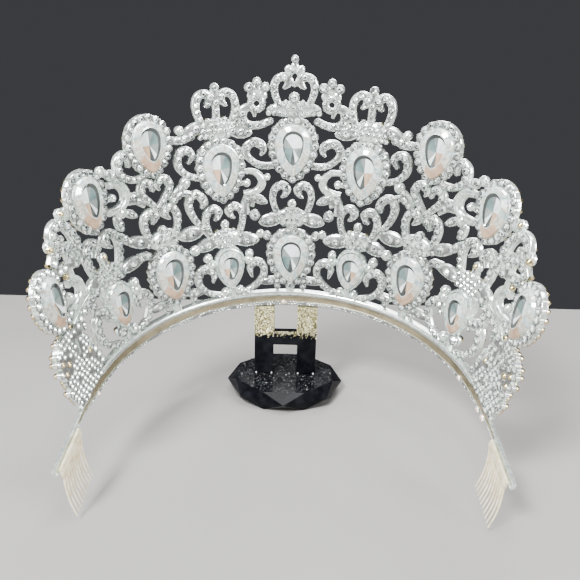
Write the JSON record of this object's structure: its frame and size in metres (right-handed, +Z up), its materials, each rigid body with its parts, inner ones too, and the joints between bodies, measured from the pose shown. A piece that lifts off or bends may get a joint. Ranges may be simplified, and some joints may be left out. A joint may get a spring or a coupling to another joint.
{
  "type": "tiara on a display stand",
  "caption": "Openwork crystal tiara with pear stones, scroll hearts and side combs, resting on a small black stand with two posts and a faceted base.",
  "frame": {"origin": "middle of the underside of the stand's base, on the table", "axes": "+X to the right along the row of pear stones, -Y towards the open end of the tiara and its combs, +Z up"},
  "size_m": [0.1488, 0.1229, 0.1403],
  "materials": {
    "silver": "polished silver plate",
    "crystal": "clear faceted",
    "pale_gold": "satin pale gold",
    "black_acrylic": "gloss"
  },
  "bodies": {
    "root": {"stand_base": "black_acrylic", "stand_upright": "black_acrylic", "headband": "silver", "openwork": "silver", "comb_left": "pale_gold", "comb_right": "pale_gold", "stone_upper_centre": "crystal", "stone_upper_1_left": "crystal", "stone_upper_1_right": "crystal", "stone_upper_2_left": "crystal", "stone_upper_2_right": "crystal", "stone_upper_3_left": "crystal", "stone_upper_3_right": "crystal", "stone_lower_centre": "crystal", "stone_lower_1_left": "crystal", "stone_lower_1_right": "crystal", "stone_lower_2_left": "crystal", "stone_lower_2_right": "crystal", "stone_lower_3_left": "crystal", "stone_lower_3_right": "crystal", "stone_lower_4_left": "crystal", "stone_lower_4_right": "crystal"}
  },
  "joints": []
}
